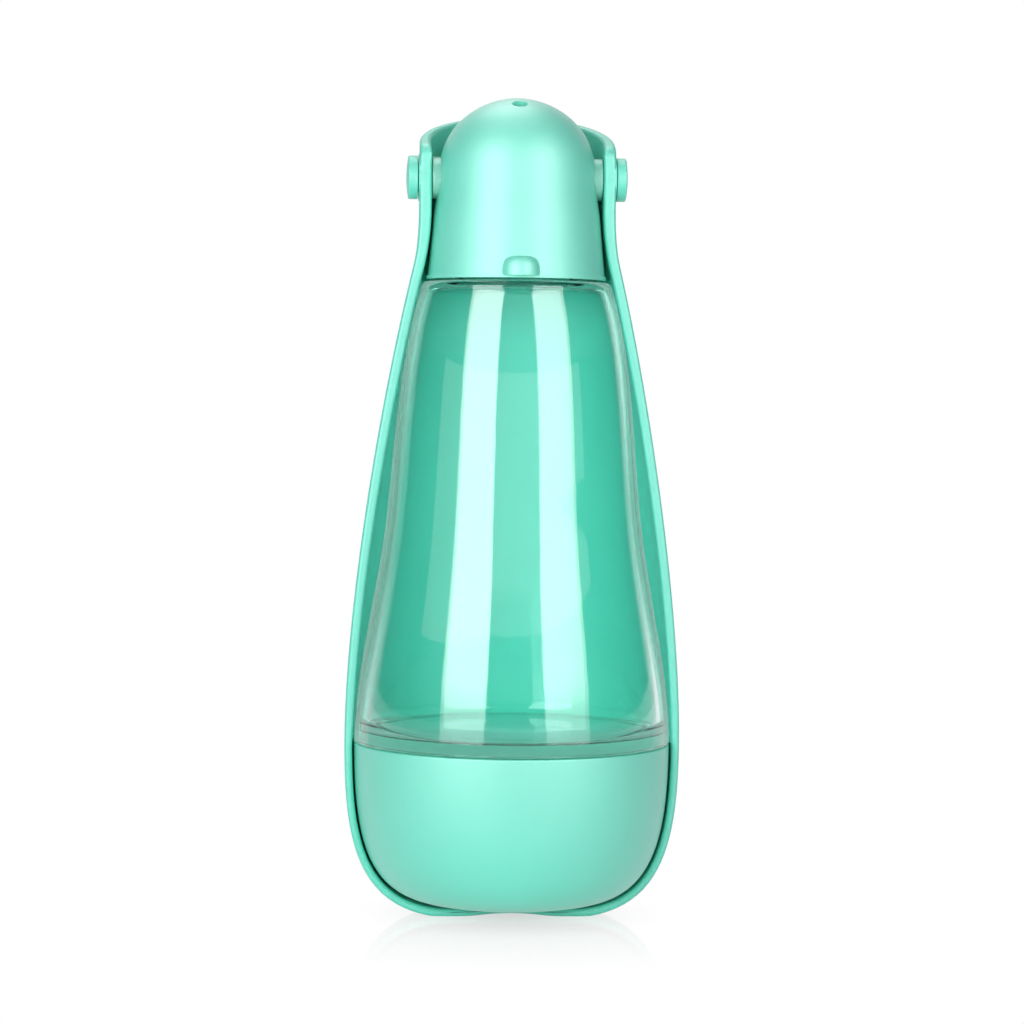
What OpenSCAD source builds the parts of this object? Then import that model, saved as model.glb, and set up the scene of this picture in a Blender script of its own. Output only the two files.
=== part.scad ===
/* [Tank] */
// Outside radius of the bottle at the seam between tank and cup
bottle_r = 44.6; // [42:0.2:48]
// Height of the tank from the seam to the top of its shoulder
tank_h = 129.4; // [115:0.1:150]
// Outside radius of the tank where the waist turns
waist_r = 35.6; // [34:0.2:37]
// Height of the waist above the seam
waist_h = 65.3; // [60:0.5:70]
// How far the side leans in at the waist, per unit of height
waist_lean = 0.1; // [0.06:0.01:0.14]
// Outside radius of the tank at its shoulder
shoulder_r = 27.3; // [26.5:0.1:28.2]
// Size of the rounded edge of the shoulder
shoulder_round = 2.4; // [1.6:0.2:3]
// Wall of the tank at the foot
tank_wall_foot = 3.2; // [2.6:0.1:4]
// Wall of the tank at the waist
tank_wall = 2.4; // [2:0.1:3]
// Wall of the tank at the shoulder
tank_wall_top = 2.4; // [2:0.1:3.6]
// Thickness of the clear floor of the tank
tank_floor = 3; // [2.5:0.1:5]
// Size of the inside round between floor and side
tank_round = 2; // [1.5:0.5:9]

/* [Neck and cup joint] */
// Outside radius of the threaded neck
neck_r = 17.5; // [16:0.1:18]
// Wall of the neck
neck_wall = 2.2; // [1.6:0.1:3]
// Height of the neck above the shoulder
neck_h = 17.5; // [14:0.5:18.5]
// How far a thread stands out
thread_h = 0.9; // [0.5:0.1:1]
// Width of a thread at its root
thread_w = 1.8; // [1.2:0.1:2.4]
// Width of a thread at its crest
thread_crest = 0.6; // [0.3:0.1:1]
// Number of turns of the thread on the neck
thread_turns = 3; // [2:1:3]
// Distance from one thread to the next
thread_pitch = 4; // [3:0.25:5]
// Wall of the spigot
spigot_wall = 2.6; // [2:0.1:3.5]
// How far the spigot reaches into the cup
spigot_h = 10; // [8:0.5:14]

/* [Cup] */
// Height of the cup from its foot to its rim
cup_h = 45; // [38:0.5:55]
// Wall of the cup at its foot
cup_wall = 2.4; // [2:0.1:3]
// Wall of the cup at its rim, around the spigot of the tank
cup_rim_wall = 2.65; // [2.2:0.05:3.2]
// Radius of the flat under the cup
cup_flat_r = 20; // [16:0.5:22]
// Height of the control point that keeps the side of the cup upright
cup_side_drop = 27; // [22:0.5:30]

/* [Cap] */
// Outside radius of the cap above its lip
cap_foot_r = 25; // [24.6:0.1:26]
// Outside radius of the cap at the hinge
cap_r = 22.2; // [21.8:0.1:22.6]
// Height of the hinge axis above the foot of the cap
pin_up = 28.5; // [27:0.5:32]
// Height of the dome above the hinge axis
dome_h = 22.5; // [21.5:0.1:24]
// How high the straight side of the cap runs
cap_side_h = 16; // [14:0.5:17]
// How far the straight side leans in over that height
cap_side_in = 1.4; // [1:0.1:1.8]
// Wall of the cap
cap_wall = 2; // [1.6:0.1:2.2]
// How far the lip at the foot of the cap stands out
lip_out = 0.3; // [0.1:0.05:0.6]
// Height of that lip
lip_h = 1.1; // [0.8:0.1:1.6]
// Radius of the rest lug at the front, at its foot
lug_r = 5.5; // [4.5:0.1:6]
// Radius of the flat top of the rest lug
lug_top_r = 3.6; // [2.6:0.1:4.4]
// Height of the rest lug
lug_h = 4.8; // [3.5:0.1:5.2]
// How far the rest lug stands out from the cap
lug_out = 3; // [2.4:0.1:3.6]

/* [Outlet] */
// Bore of the outlet
outlet_r = 2.2; // [1.8:0.1:2.6]
// Lean of the outlet from the top of the dome to the front
outlet_lean = 26; // [20:1:32]
// Wall of the dome over the valve
outlet_wall = 2.5; // [2.2:0.1:3]
// Outside radius of the boss under the outlet
outlet_boss_r = 5.6; // [5.2:0.1:6.4]
// Length of that boss inside the dome
outlet_boss_h = 5.5; // [4.5:0.1:6]
// Outside radius of the silicone valve
valve_r = 4.1; // [3.6:0.1:4.4]
// Thickness of the valve's disc
valve_t = 1.4; // [1:0.1:2]
// Height of the valve's skirt
valve_skirt_h = 2.6; // [2:0.1:3]
// Wall of the valve's skirt
valve_skirt_wall = 1; // [0.8:0.1:1.4]
// Width of the slits in the valve
slit_w = 0.3; // [0.2:0.05:0.5]
// Length of the slits in the valve
slit_len = 3.4; // [2.4:0.1:4]

/* [Cap liner and seals] */
// Wall of the threaded sleeve in the cap
liner_wall = 1.5; // [1.2:0.1:1.6]
// Thickness of the liner's disc
liner_disc = 2; // [1.5:0.1:2.5]
// Radius of the water hole in the liner
liner_hole_r = 6; // [4:0.5:9]
// Thickness of the flat seal on the neck
neck_seal_t = 1.2; // [0.8:0.1:1.6]
// Radius of the section of the ring on the spigot
ring_r = 1; // [0.8:0.05:1.1]
// How deep that ring sits in its groove
ring_sunk = 0.75; // [0.6:0.05:0.9]

/* [Hinge] */
// Radius of the hinge pin
pin_r = 3; // [2.5:0.1:3.4]
// Depth of the pin in the boss of the cap
pin_depth = 7.5; // [6:0.5:8]
// Radius of the boss that holds the pin
pin_boss_r = 6.3; // [6.2:0.1:6.4]
// Wall behind the blind end of the pin's hole
pin_boss_end = 1.6; // [1:0.1:2.4]
// How deep the seat of the bush is sunk into the cap
seat_in = 1; // [0.9:0.05:1.2]
// Outside radius of the sleeve of the clear bush
bush_r = 4; // [3.8:0.1:4.4]
// Radius of the flange of the bush
bush_flange_r = 5.9; // [5.4:0.1:6]
// Thickness of the flange of the bush
bush_flange_t = 2.65; // [2.4:0.05:2.9]
// Radius of the knob on the pin
knob_r = 6.1; // [5.6:0.1:6.8]
// Thickness of the knob at its edge
knob_t = 2.7; // [2:0.1:3.4]
// How far the face of the knob is domed
knob_dome = 0.5; // [0.3:0.1:0.8]
// Rounding of the edge of the knob
knob_round = 0.5; // [0.3:0.1:0.8]

/* [Tray] */
// Wall of the drinking tray
tray_wall = 2.2; // [2:0.1:2.8]
// Wall of the tray at the ears
ear_wall = 3.4; // [3:0.1:4]
// Thickness of the floor of the tray under the cup
tray_floor = 2.2; // [2:0.1:2.6]
// How far the rim of the tray stands in front of the bottle's axis
rim_y = 6.5; // [6.5:0.25:8]
// Height of the straight ears above the hinge axis
ear_up = 24; // [23:0.5:26]
// How far the straight ears reach below the hinge axis
ear_down = 9; // [8.5:0.5:11]
// Height above the hinge axis where the end wall has thinned to the tray's wall
end_thin_up = 15; // [12:0.5:18]
// How far the neck of the tray is wider than the shoulder
tray_neck_out = 1.6; // [1.4:0.1:2.2]
// Height of the neck of the tray above the shoulder
tray_neck_up = 4.6; // [4:0.2:6]
// Lean of the side of the tray at its neck, per unit of height
tray_lean = 0.24; // [0.225:0.005:0.26]
// Height above the seam where the side of the tray starts to turn upright
tray_swell_up = 36; // [30:0.5:42]
// How far the round underside of the tray is cut flat
foot_flat = 0.3; // [0.1:0.1:0.6]
// Radius of the hollow under the tray
hollow_r = 16; // [12:0.5:18]
// Height of the hollow under the tray, at the axis
hollow_h = 0.9; // [0.5:0.05:1]
// Height of the end of the tray above the hinge axis, at the axis
end_up = 10.5; // [9.6:0.1:11.4]
// Slope of the end of the tray
end_slope = 18.5; // [17:0.5:21]
// Rounding of the corner of the ear
ear_round = 5; // [3:0.5:5]
// How far the seat of the knob stands proud of the ear
ear_seat_out = 0.2; // [0.1:0.05:0.4]
// Radius of the seats in the ear
ear_seat_r = 6.6; // [6.3:0.1:7]

/* [Clearances] */
// Gap between the tray and the widest part of the bottle
tray_gap = 0.4; // [0.35:0.05:0.6]
// Gap between the floor of the tray and the foot of the cup
foot_gap = 1.8; // [1.6:0.1:2.2]
// Gap between parts that turn on each other
turn_gap = 0.3; // [0.25:0.05:0.4]
// Radial clearance of a shaft in its bore
shaft_gap = 0.05; // [0.03:0.01:0.08]
// Side play of the ear between bush and knob
play = 0.25; // [0.2:0.05:0.3]
// Gap around pieces that are seated in the cap
seat_gap = 0.1; // [0.05:0.05:0.2]

/* [Hidden] */
$fn = 96;

mint = [0.56, 0.95, 0.86];
clear = [0.8, 0.93, 0.92, 0.35];
silicone = [0.88, 0.92, 0.9];

// Steps along a long curve, along a bend and along a small rounding
steps = 24;
bend_steps = 12;
edge_steps = 8;
// A little more, so that a cut runs past a face
past = 1;

// Heights from the floor upwards
cup_z = tray_floor + foot_gap;
cup_top = cup_z + cup_h;
seam_z = cup_top + turn_gap;
shoulder_z = seam_z + tank_h;
neck_top = shoulder_z + neck_h;
cap_z = shoulder_z + 2 * turn_gap;
pin_z = cap_z + pin_up;
dome_z = pin_z + dome_h;
liner_z = neck_top + turn_gap + neck_seal_t;

// Radii that fit one piece to another
thread_r = neck_r + thread_h;
sleeve_r = thread_r + turn_gap;
cup_bore_r = bottle_r - cup_rim_wall;
spigot_r = cup_bore_r - turn_gap - 2 * ring_r + ring_sunk;
groove_r = spigot_r - ring_sunk;

// Distances from the middle plane along the hinge
seat_x = cap_r - seat_in;
bush_x = seat_x + bush_flange_t;
ear_in_x = bush_x + play;
ear_out_x = ear_in_x + ear_wall;
knob_x = ear_out_x + ear_seat_out + play;
end_in_x = ear_out_x - tray_wall;
boss_x = seat_x - pin_depth - pin_boss_end;

// Widths of the tray
tray_r = bottle_r + tray_gap + tray_wall;
tray_neck_r = shoulder_r + tray_neck_out;
tray_neck_z = shoulder_z + tray_neck_up;

// Points along a curve with two control points
function curve(a, b, c, d, n = steps) = [
    for (i = [0 : n])
        let (t = i / n, u = 1 - t)
            u * u * u * a + 3 * u * u * t * b + 3 * u * t * t * c + t * t * t * d
];

// Share of the way to a corner at which a rounding's control points lie
round_pull = 0.55;

// Rounding from a to b, inside the corner c
function rounded(a, c, b, n = edge_steps) =
    curve(a, a + (c - a) * round_pull, b + (c - b) * round_pull, b, n);

// The list p without its first k points
function after(p, k = 1) = [for (i = [k : len(p) - 1]) p[i]];

// The list p in the opposite order
function reversed(p) = [for (i = [len(p) - 1 : -1 : 0]) p[i]];

// Unit normal to the left of the line p at its point i
function left(p, i) =
    let (d = p[min(i + 1, len(p) - 1)] - p[max(i - 1, 0)])
        [-d.y, d.x] / norm(d);

// The line p moved to its left by a distance that runs from w0 to w1, and the later the higher the power
function moved(p, w0, w1, power = 1) = [
    for (i = [0 : len(p) - 1])
        let (s = pow(i / (len(p) - 1), power))
            p[i] + left(p, i) * (w0 + (w1 - w0) * s)
];

// Radius of the rising outline p at the height z
function radius_at(p, z) =
    let (
        k = [for (i = [0 : len(p) - 2]) if (p[i].y <= z && p[i + 1].y > z) i][0],
        s = (z - p[k].y) / (p[k + 1].y - p[k].y)
    )
        p[k].x + s * (p[k + 1].x - p[k].x);

// ---------- the tank ----------
// How far the outline keeps its direction above the foot, below and above the waist, and below the shoulder
foot_pull = 19.3;
waist_pull_down = 22;
waist_pull_up = 20;
shoulder_pull = [5.4, 16];

function tank_low() = curve(
    [bottle_r, 0],
    [bottle_r, foot_pull],
    [waist_r + waist_lean * waist_pull_down, waist_h - waist_pull_down],
    [waist_r, waist_h]
);

function tank_high() = curve(
    [waist_r, waist_h],
    [waist_r - waist_lean * waist_pull_up, waist_h + waist_pull_up],
    [shoulder_r + shoulder_pull.x, tank_h - shoulder_round - shoulder_pull.y],
    [shoulder_r, tank_h - shoulder_round]
);

// The rounded edge of the shoulder, from the side to the flat top
function shoulder_edge() = rounded(
    [shoulder_r, tank_h - shoulder_round],
    [shoulder_r, tank_h],
    [shoulder_r - shoulder_round, tank_h]
);

module tank_outline() {
    low_in = moved(tank_low(), tank_wall_foot, tank_wall);
    high_in = moved(tank_high(), tank_wall, tank_wall_top);
    inner_z = tank_h - tank_wall_top;
    above = [for (p = low_in) if (p.y > tank_floor + tank_round) p];
    floor_round = rounded(
        above[0],
        [above[0].x, tank_floor],
        [above[0].x - tank_round, tank_floor],
        bend_steps
    );
    under_edge = [for (p = high_in) if (p.y < inner_z - shoulder_round) p];
    last = under_edge[len(under_edge) - 1];
    lean = shoulder_pull.x / shoulder_pull.y;
    corner = [last.x - lean * (inner_z - last.y), inner_z];
    roof = rounded(last, corner, corner - [shoulder_round, 0]);
    neck_in = neck_r - neck_wall;
    polygon(concat(
        tank_low(),
        after(tank_high()),
        after(shoulder_edge()),
        [[neck_r, tank_h], [neck_r, tank_h + neck_h], [neck_in, tank_h + neck_h],
            [neck_in, inner_z]],
        reversed(after(roof)),
        reversed(concat(above, under_edge)),
        after(floor_round),
        [[0, tank_floor], [0, 0]]
    ));
}

// One raised thread, drawn as a closed ring about the axis
module thread_ring(r, z) {
    rotate_extrude()
        polygon([
            [r - thread_h, z - thread_w / 2],
            [r, z - thread_w / 2],
            [r + thread_h, z - thread_crest / 2],
            [r + thread_h, z + thread_crest / 2],
            [r, z + thread_w / 2],
            [r - thread_h, z + thread_w / 2]
        ]);
}

module tank() {
    color(clear)
        translate([0, 0, seam_z]) {
            difference() {
                union() {
                    rotate_extrude() tank_outline();
                    translate([0, 0, -spigot_h])
                        cylinder(r = spigot_r, h = spigot_h + tank_floor / 2);
                }
                translate([0, 0, -spigot_h - past])
                    cylinder(r = spigot_r - spigot_wall, h = spigot_h + past);
                spigot_groove();
            }
            for (turn = [1 : thread_turns])
                thread_ring(neck_r, tank_h + neck_h - turn * thread_pitch);
            thread_ring(spigot_r, -spigot_h + thread_w);
        }
}

// Height of the middle of the ring on the spigot, from the seam down
ring_down = 2.6;

module spigot_groove() {
    groove_h = 2 * ring_r + 2 * turn_gap;
    rotate_extrude()
        translate([groove_r - seat_gap, -ring_down - groove_h / 2])
            square([ring_r + past, groove_h]);
}

module base_seal() {
    color(silicone)
        translate([0, 0, seam_z - ring_down])
            rotate_extrude()
                translate([groove_r + ring_r, 0]) circle(r = ring_r);
}

// ---------- the cup ----------
// How far the curve of the cup's side is drawn in towards its foot
cup_pull_in = 4;

function cup_side() = curve(
    [bottle_r, cup_top],
    [bottle_r, cup_top - cup_side_drop],
    [bottle_r - cup_pull_in, cup_z],
    [cup_flat_r, cup_z]
);

module base_cup() {
    outer = reversed(cup_side());
    inner = moved(outer, cup_wall, cup_rim_wall);
    below_rim = [for (p = inner) if (p.y < cup_top - past) p];
    color(mint)
        rotate_extrude()
            polygon(concat(
                [[0, cup_z]],
                outer,
                [[cup_bore_r, cup_top]],
                reversed(below_rim),
                [[0, cup_z + cup_wall]]
            ));
}

// ---------- the cap ----------
// Share of the rise to the hinge over which the side keeps its direction at each end
side_pull = 0.4;

function cap_side(inset) =
    let (
        side_top = [cap_foot_r - cap_side_in - inset, cap_z + cap_side_h],
        lean = cap_side_in / cap_side_h,
        rise = cap_z + pin_up - side_top.y
    )
        concat(
            [[cap_foot_r - inset, cap_z]],
            curve(
                side_top,
                side_top + [-lean, 1] * rise * side_pull,
                [cap_r - inset, pin_z - rise * side_pull],
                [cap_r - inset, pin_z],
                bend_steps
            )
        );

// Shares of the dome's height and radius at which its control points lie
dome_pull_side = 0.74;
dome_pull_top = 0.38;

// Outline of a dome on the hinge axis, from the side to the top
function dome(r, h) = curve(
    [r, pin_z],
    [r, pin_z + h * dome_pull_side],
    [r * dome_pull_top, pin_z + h],
    [0, pin_z + h]
);

// Solid form of the cap, drawn in from its outside by a given wall and lengthened at its foot
module cap_form(inset, longer) {
    rotate_extrude()
        polygon(concat(
            [[0, cap_z - longer], [cap_foot_r - inset, cap_z - longer]],
            cap_side(inset),
            after(dome(cap_r - inset, dome_h - inset))
        ));
}

module rest_lug() {
    translate([0, -(cap_foot_r + lug_out - lug_r), cap_z + lip_h])
        rotate_extrude()
            polygon(concat(
                [[0, -past / 2], [lug_r, -past / 2]],
                rounded([lug_r, 0], [lug_r, lug_h], [lug_top_r, lug_h], bend_steps),
                [[0, lug_h]]
            ));
}

// Places its children on the outlet's axis, at a distance from the middle of the dome
module on_outlet(d) {
    translate([0, 0, pin_z])
        rotate([outlet_lean, 0, 0])
            translate([0, 0, d])
                children();
}

// Distances along the outlet's axis
outlet_top = dome_h - cap_wall;
outlet_foot = outlet_top - outlet_boss_h;
valve_top = dome_h - outlet_wall;

// Places its children along the hinge, on one side
module on_hinge(side, x) {
    translate([0, 0, pin_z])
        rotate([0, side * 90, 0])
            translate([0, 0, x])
                children();
}

module cap_shell() {
    color(mint)
        difference() {
            union() {
                difference() {
                    union() {
                        cap_form(0, 0);
                        translate([0, 0, cap_z]) cylinder(r = cap_foot_r + lip_out, h = lip_h);
                        rest_lug();
                    }
                    cap_form(cap_wall, past);
                }
                for (side = [-1, 1])
                    on_hinge(side, boss_x) cylinder(r = pin_boss_r, h = seat_x - boss_x);
                on_outlet(outlet_foot) cylinder(r = outlet_boss_r, h = outlet_boss_h + cap_wall / 2);
            }
            for (side = [-1, 1]) {
                on_hinge(side, seat_x - pin_depth) cylinder(r = pin_r + shaft_gap, h = pin_depth + past);
                on_hinge(side, seat_x) cylinder(r = bush_flange_r + 2 * seat_gap, h = bush_flange_t);
            }
            on_outlet(outlet_foot - past) cylinder(r = outlet_r, h = dome_h);
            on_outlet(outlet_foot - past)
                cylinder(r = valve_r + seat_gap, h = valve_top - outlet_foot + past);
        }
}

module cap_liner() {
    sleeve_out_r = sleeve_r + liner_wall;
    flange_r = radius_at(cap_side(cap_wall), liner_z + liner_disc) - seat_gap;
    color(mint)
        difference() {
            union() {
                translate([0, 0, cap_z + lip_h])
                    cylinder(r = sleeve_out_r, h = liner_z + liner_disc - cap_z - lip_h);
                translate([0, 0, liner_z]) cylinder(r = flange_r, h = liner_disc);
            }
            translate([0, 0, cap_z])
                cylinder(r = sleeve_r, h = liner_z - cap_z);
            translate([0, 0, liner_z - past])
                cylinder(r = liner_hole_r, h = liner_disc + 2 * past);
        }
}

module neck_seal() {
    color(silicone)
        translate([0, 0, liner_z - neck_seal_t])
            difference() {
                cylinder(r = sleeve_r - seat_gap, h = neck_seal_t);
                translate([0, 0, -past])
                    cylinder(r = neck_r - neck_wall, h = neck_seal_t + 2 * past);
            }
}

module outlet_valve() {
    disc_z = valve_top - seat_gap - valve_t;
    color(silicone)
        difference() {
            union() {
                on_outlet(disc_z) cylinder(r = valve_r, h = valve_t);
                on_outlet(disc_z - valve_skirt_h) cylinder(r = valve_r, h = valve_skirt_h);
            }
            on_outlet(disc_z - valve_skirt_h - past)
                cylinder(r = valve_r - valve_skirt_wall, h = valve_skirt_h + past);
            for (turn = [0, 90])
                on_outlet(disc_z - past)
                    rotate([0, 0, turn])
                        translate([-slit_len / 2, -slit_w / 2, 0])
                            cube([slit_len, slit_w, valve_t + 2 * past]);
        }
}

// ---------- the hinge ----------
module hinge_pin(side) {
    shaft_foot = seat_x - pin_depth + seat_gap;
    head = knob_x - shaft_foot;
    face = head + knob_t;
    face_r = knob_r - knob_round;
    color(mint)
        on_hinge(side, shaft_foot)
            rotate_extrude()
                polygon(concat(
                    [[0, 0], [pin_r, 0], [pin_r, head], [knob_r, head]],
                    rounded([knob_r, face - knob_round], [knob_r, face], [face_r, face]),
                    after(rounded([face_r, face], [face_r / 2, face + knob_dome], [0, face + knob_dome]))
                ));
}

module hinge_bush(side) {
    sleeve_len = ear_out_x + ear_seat_out - seat_x;
    color(clear)
        on_hinge(side, seat_x)
            difference() {
                union() {
                    cylinder(r = bush_flange_r, h = bush_flange_t);
                    cylinder(r = bush_r, h = sleeve_len);
                }
                translate([0, 0, -past])
                    cylinder(r = pin_r + shaft_gap, h = sleeve_len + 2 * past);
            }
}

module hinge_pin_left() {
    hinge_pin(-1);
}

module hinge_pin_right() {
    hinge_pin(1);
}

module hinge_bush_left() {
    hinge_bush(-1);
}

module hinge_bush_right() {
    hinge_bush(1);
}

// ---------- the tray ----------
// How far the side keeps its direction below the ears, above the neck and below the neck
ear_pull = 6;
neck_pull_up = 4;
neck_pull_down = 40;

// Outside of the tray from the end of its ears down to its foot
function tray_outer() = concat(
    [[ear_out_x, pin_z + ear_up]],
    curve(
        [ear_out_x, pin_z - ear_down],
        [ear_out_x, pin_z - ear_down - ear_pull],
        [tray_neck_r - neck_pull_up * tray_lean, tray_neck_z + neck_pull_up],
        [tray_neck_r, tray_neck_z],
        edge_steps
    ),
    after(tray_side()),
    after(tray_corner(tray_wall, tray_floor + foot_flat, 0))
);

function tray_side() = curve(
    [tray_neck_r, tray_neck_z],
    [tray_neck_r + neck_pull_down * tray_lean, tray_neck_z - neck_pull_down],
    [tray_r, seam_z + tray_swell_up],
    [tray_r, seam_z]
);

// How late the gap around the cup opens into the wider gap under its foot
gap_late = 5;

// The tray hugs the cup round its corner, opens towards the foot, and is cut flat below
function tray_corner(wall, floor, flat) = concat(
    [[bottle_r + tray_gap + wall, seam_z]],
    [for (p = moved(cup_side(), tray_gap + wall, foot_gap + floor, gap_late)) [p.x, max(p.y, flat)]]
);

// Inside of the tray, from the foot up to the ears
function tray_inner() =
    let (
        blend = curve(
            [ear_in_x, pin_z - ear_down],
            [ear_in_x, pin_z - ear_down - ear_pull],
            [tray_neck_r - tray_wall - neck_pull_up * tray_lean, tray_neck_z + neck_pull_up],
            moved(reversed(tray_side()), tray_wall, tray_wall)[steps],
            edge_steps
        )
    )
        concat(
            reversed(tray_corner(0, 0, tray_floor)),
            after(moved(reversed(tray_side()), tray_wall, tray_wall)),
            after(reversed(blend)),
            [[ear_in_x, pin_z + ear_seat_r], [end_in_x, pin_z + end_thin_up],
                [end_in_x, pin_z + ear_up]]
        );

// The shallow hollow under the foot, from its edge to the axis
function foot_hollow() = curve(
    [hollow_r, 0],
    [hollow_r / 2, 0],
    [hollow_r / 2, hollow_h],
    [0, hollow_h],
    bend_steps
);

module tray_section() {
    polygon(concat(
        tray_outer(),
        foot_hollow(),
        [[0, tray_floor]],
        tray_inner()
    ));
}

// Side view of the tray, with its sloping end and the rounded corner of its ears
module tray_side_view() {
    back = tray_r + past;
    low = pin_z + end_up - rim_y * tan(end_slope);
    turn = 90 - end_slope;
    reach = ear_round * tan(turn / 2);
    middle = [-rim_y + ear_round, low - reach];
    polygon(concat(
        [[-rim_y - past, -past], [-rim_y - past, -past / 2], [-rim_y, -past / 2]],
        [for (i = [0 : bend_steps])
            let (a = 180 - turn * i / bend_steps)
                middle + ear_round * [cos(a), sin(a)]],
        [[back, pin_z + end_up + back * tan(end_slope)], [back, -past]]
    ));
}

module tray() {
    color(mint)
        difference() {
            intersection() {
                union() {
                    rotate_extrude(angle = 180) tray_section();
                    for (side = [0, 1])
                        mirror([side, 0, 0])
                            rotate([90, 0, 0])
                                linear_extrude(height = rim_y) tray_section();
                    for (side = [-1, 1])
                        on_hinge(side, ear_in_x + ear_wall / 2)
                            cylinder(r = ear_seat_r, h = ear_wall / 2 + ear_seat_out);
                }
                rotate([90, 0, 90])
                    linear_extrude(height = 2 * (tray_r + past), center = true)
                        tray_side_view();
            }
            for (side = [-1, 1]) {
                on_hinge(side, 0) cylinder(r = ear_seat_r, h = ear_in_x);
                on_hinge(side, 0) cylinder(r = bush_r + shaft_gap, h = ear_out_x + past);
            }
        }
}

tank();
base_cup();
base_seal();
cap_shell();
cap_liner();
neck_seal();
outlet_valve();
hinge_pin_left();
hinge_pin_right();
hinge_bush_left();
hinge_bush_right();
tray();
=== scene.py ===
# %% [markdown]
# # A travel water bottle with a swinging drinking tray
# A clear tank carries a mint cap at the top and a mint cup below. A drinking tray hangs behind them on two pins
# in the cap, and swings up over the cap to be filled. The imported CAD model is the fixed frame: every piece made
# here goes where its CAD node is, and moves with the CAD body that carries it.

# %% Load the frame
import math

import bpy
from mathutils import Matrix, Vector
from mathutils.geometry import interpolate_bezier


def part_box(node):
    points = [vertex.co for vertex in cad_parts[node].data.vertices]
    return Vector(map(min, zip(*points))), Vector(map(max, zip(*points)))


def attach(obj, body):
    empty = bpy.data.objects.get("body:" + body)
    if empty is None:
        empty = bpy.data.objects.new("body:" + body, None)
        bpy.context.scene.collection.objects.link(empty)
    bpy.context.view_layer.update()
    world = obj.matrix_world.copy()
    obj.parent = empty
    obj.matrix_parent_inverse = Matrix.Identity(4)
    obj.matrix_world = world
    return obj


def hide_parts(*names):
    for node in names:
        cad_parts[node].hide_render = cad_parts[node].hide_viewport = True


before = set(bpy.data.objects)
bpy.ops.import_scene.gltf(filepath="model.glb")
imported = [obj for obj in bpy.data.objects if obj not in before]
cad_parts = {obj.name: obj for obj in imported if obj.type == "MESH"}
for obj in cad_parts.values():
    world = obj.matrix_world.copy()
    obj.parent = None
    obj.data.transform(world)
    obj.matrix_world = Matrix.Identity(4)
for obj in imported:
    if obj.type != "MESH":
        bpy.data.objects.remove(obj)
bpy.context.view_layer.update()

print("nodes:", sorted(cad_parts))

# %% [markdown]
# ## Units and selection
# The frame is in metres, but the sizes of a bottle are easier to read in millimetres, so they are written in
# millimetres and multiplied once. An operator works on all that is selected, and the loaded nodes are selected,
# so each step starts by deselecting everything and then picks its own piece.

# %% Selection helpers
MM = 0.001


def deselect():
    if bpy.context.object and bpy.context.object.mode != "OBJECT":
        bpy.ops.object.mode_set(mode="OBJECT")
    bpy.ops.object.select_all(action="DESELECT")


def pick(*pieces):
    deselect()
    for piece in pieces:
        piece.select_set(True)
    bpy.context.view_layer.objects.active = pieces[-1]


def size_mm(piece):
    low = [min(v.co[i] for v in piece.data.vertices) / MM for i in range(3)]
    high = [max(v.co[i] for v in piece.data.vertices) / MM for i in range(3)]
    return low, high


def compare(piece, node):
    """Prints how far each side of the piece is from the side of its CAD node, in millimetres."""
    low, high = size_mm(piece)
    cad_low, cad_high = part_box(node)
    off = [low[i] - cad_low[i] / MM for i in range(3)] + [high[i] - cad_high[i] / MM for i in range(3)]
    print(piece.name, "faces:", len(piece.data.polygons), "off the node by", [round(v, 2) for v in off])


deselect()
print("nothing selected:", not bpy.context.selected_objects)

# %% [markdown]
# ## Outlines
# Nearly every piece of a bottle is turned or moulded around an axis, so its outline says almost everything. An
# outline here is a list of points, a radius and a height each. Its bends are Bezier curves, which are sampled
# into points, and a wall is the same line moved inwards by the thickness of the plastic.

# %% Outline helpers
ROUND_PULL = 0.55


def bend(a, b, c, d, count=24):
    """Points along the curve from a to d that starts towards b and arrives from c."""
    return [tuple(p)[:2] for p in interpolate_bezier(*[(*p, 0) for p in (a, b, c, d)], count + 1)]


def rounded(a, corner, b, count=8):
    """A rounding from a to b, inside the corner."""
    towards = [tuple(p + (k - p) * ROUND_PULL for p, k in zip(end, corner)) for end in (a, b)]
    return bend(a, *towards, b, count)


def inset(line, first, last, power=1):
    """The line moved to its left, by a distance that runs from first to last, later with a higher power."""
    moved = []
    for i, (r, z) in enumerate(line):
        before, after = line[max(i - 1, 0)], line[min(i + 1, len(line) - 1)]
        along = Vector((after[0] - before[0], after[1] - before[1])).normalized()
        width = first + (last - first) * (i / (len(line) - 1)) ** power
        moved.append((r - along.y * width, z + along.x * width))
    return moved


def radius_at(line, z):
    """Radius of a rising outline at the height z."""
    for (r0, z0), (r1, z1) in zip(line, line[1:]):
        if z0 <= z < z1:
            return r0 + (r1 - r0) * (z - z0) / (z1 - z0)


print("a rounding of 1 mm has", len(rounded((1, 0), (1, 1), (0, 1))), "points")

# %% [markdown]
# ## Drawing and spinning
# A potter or a lathe makes a round body by turning its outline. In Blender the outline is drawn as a curve,
# made a mesh, and spun in edit mode. Spinning leaves doubled points where the turn closes and where the outline
# meets the axis, and it may leave the faces inside out, so the doubles are merged and the normals recalculated.

# %% Lathe helpers
MERGE = 0.01 * MM


def draw(name, points):
    """A line in the plane y = 0 through points (radius, height) in millimetres."""
    deselect()
    bpy.ops.curve.primitive_bezier_curve_add(location=(0, 0, 0))
    line = bpy.context.object
    line.name = name
    knots = line.data.splines[0].bezier_points
    knots.add(len(points) - 2)
    for knot, (r, z) in zip(knots, points):
        knot.co = (r * MM, 0, z * MM)
        knot.handle_left_type = knot.handle_right_type = "VECTOR"
    return line


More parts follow.
